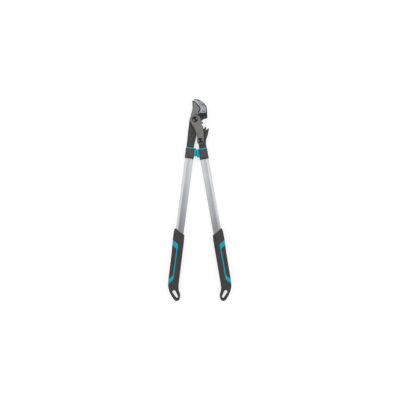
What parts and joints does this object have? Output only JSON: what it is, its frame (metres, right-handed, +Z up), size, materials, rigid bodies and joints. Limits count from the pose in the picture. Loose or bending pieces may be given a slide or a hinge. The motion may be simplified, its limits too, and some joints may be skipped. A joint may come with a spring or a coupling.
{
  "type": "lopper",
  "caption": "Geared bypass lopper with a curved blade, a hook, toothed levers, oval tube handles, end-stop bumpers and moulded grips with hang eyes.",
  "frame": {"origin": "rear end of the main bolt, on that bolt's axis, on the surface that the shut tool lies on", "axes": "+Y along the head towards the blade's tip, +X across to the right handle, +Z up out of the surface, through the blade's side"},
  "size_m": [0.188, 0.5998, 0.0283],
  "materials": {
    "blade_steel": "ground, with a darker bevel along the cutting edge",
    "link_steel": "blanked plate, tumbled to a dull warm grey",
    "forged_steel": "forged and blackened, with a bright ground face on the hook",
    "black_bolt_steel": "black plated and glossy",
    "bush_bronze": "sintered and plain",
    "tube_aluminium": "drawn and satin anodised",
    "grey_nylon": "moulded with a fine grain",
    "grip_plastic": "moulded with a fine grain",
    "pad_rubber": "soft and matt",
    "teal_rubber": "soft and satin"
  },
  "bodies": {
    "head": {"blade": "blade_steel", "front_link": "link_steel", "rear_link": "link_steel", "main_bolt": "black_bolt_steel", "main_nut": "black_bolt_steel", "main_bush": "bush_bronze", "lower_bolt": "black_bolt_steel", "lower_nut": "black_bolt_steel", "lower_bush": "bush_bronze"},
    "left_lever": {"hook_lever": "forged_steel", "left_tang_insert": "grey_nylon", "left_tang_pin": "black_bolt_steel", "left_tube": "tube_aluminium", "left_collar": "grey_nylon", "left_bumper": "teal_rubber", "left_grip_core": "grip_plastic", "left_grip_inlay": "teal_rubber", "left_grip_pad": "pad_rubber"},
    "right_lever": {"gear_lever": "forged_steel", "right_tang_insert": "grey_nylon", "right_tang_pin": "black_bolt_steel", "right_tube": "tube_aluminium", "right_collar": "grey_nylon", "right_bumper": "teal_rubber", "right_grip_core": "grip_plastic", "right_grip_inlay": "teal_rubber", "right_grip_pad": "pad_rubber"}
  },
  "joints": [
    {"name": "hook_hinge", "type": "hinge", "parent": "head", "child": "left_lever", "pos_m": [0, 0, 0.013], "axis": [0, 0, -1], "range_deg": [0, 43]},
    {"name": "lower_hinge", "type": "hinge", "parent": "head", "child": "right_lever", "pos_m": [0.01574, -0.06409, 0.013], "axis": [0, 0, 1], "range_deg": [0, 24.6]}
  ],
  "couplings": [
    {"joint": "lower_hinge", "follows": "hook_hinge", "ratio": 0.57143}
  ]
}
